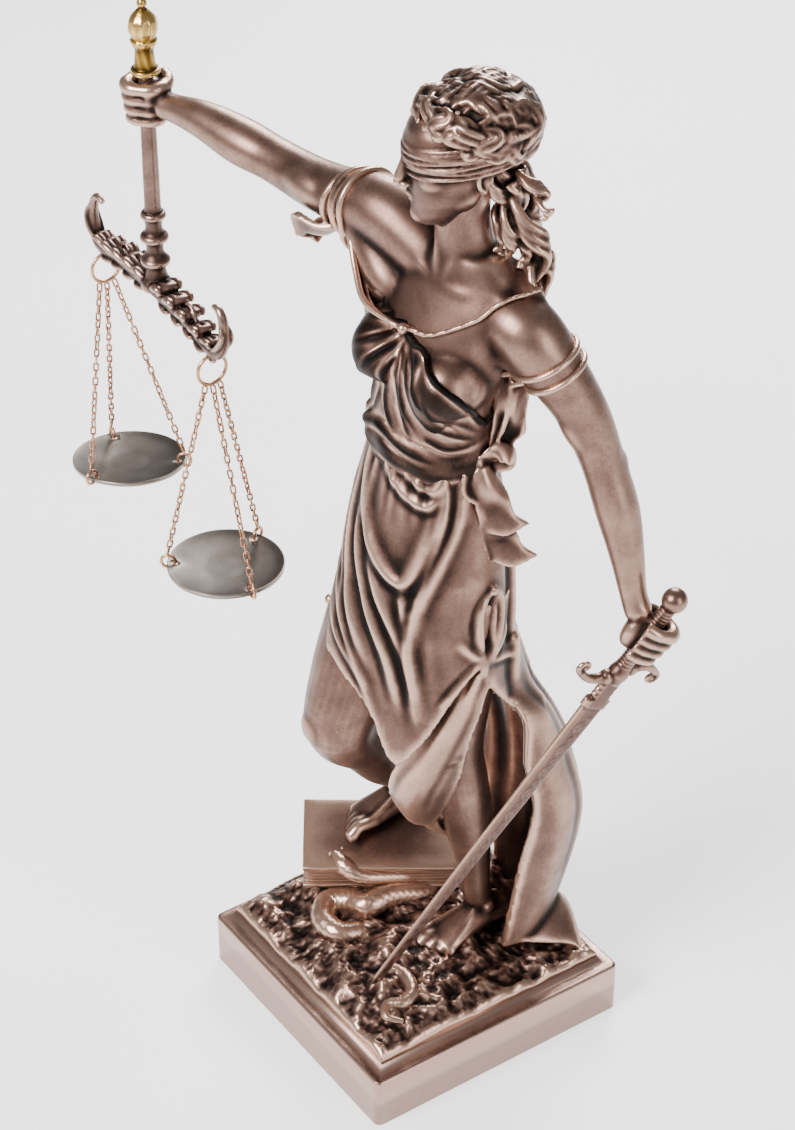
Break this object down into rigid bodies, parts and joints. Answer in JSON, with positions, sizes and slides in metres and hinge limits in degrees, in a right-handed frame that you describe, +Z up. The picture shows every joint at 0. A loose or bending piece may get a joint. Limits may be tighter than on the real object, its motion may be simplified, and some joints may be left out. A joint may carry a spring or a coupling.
{
  "type": "lady justice statuette",
  "caption": "Blindfolded figure of Justice in a draped gown, balance raised in the right hand and sword in the left, standing on a rocky ground over a square plinth.",
  "frame": {"origin": "centre of the plinth's underside", "axes": "+Z up; the figure's chest looks along -Y, so its raised right hand and the balance are at -X and its left hand with the sword at +X"},
  "size_m": [0.2177, 0.088, 0.3076],
  "materials": {
    "cold_cast_bronze": "cold-cast bronze resin, brown patina in the hollows, rubbed bright on the ridges",
    "plinth_bronze": "smooth brushed cold-cast bronze",
    "sword_bronze": "cold-cast bronze with engraved scrolls",
    "balance_bronze": "cold-cast bronze, dark in the leaf work",
    "finial_brass": "turned and cast brass, dark in the flutes",
    "chain_copper": "copper-plated wire, dulled",
    "pan_bronze": "thin sheet metal with a dark bronzed finish"
  },
  "bodies": {
    "root": {"plinth": "plinth_bronze", "figure": "cold_cast_bronze", "sword": "sword_bronze", "balance": "balance_bronze", "finial": "finial_brass", "hanging_ring_right": "chain_copper", "hanging_ring_left": "chain_copper", "chain_right_1": "chain_copper", "chain_right_2": "chain_copper", "chain_right_3": "chain_copper", "chain_left_1": "chain_copper", "chain_left_2": "chain_copper", "chain_left_3": "chain_copper", "pan_ring_right_1": "chain_copper", "pan_ring_right_2": "chain_copper", "pan_ring_right_3": "chain_copper", "pan_ring_left_1": "chain_copper", "pan_ring_left_2": "chain_copper", "pan_ring_left_3": "chain_copper", "pan_right": "pan_bronze", "pan_left": "pan_bronze"}
  },
  "joints": []
}
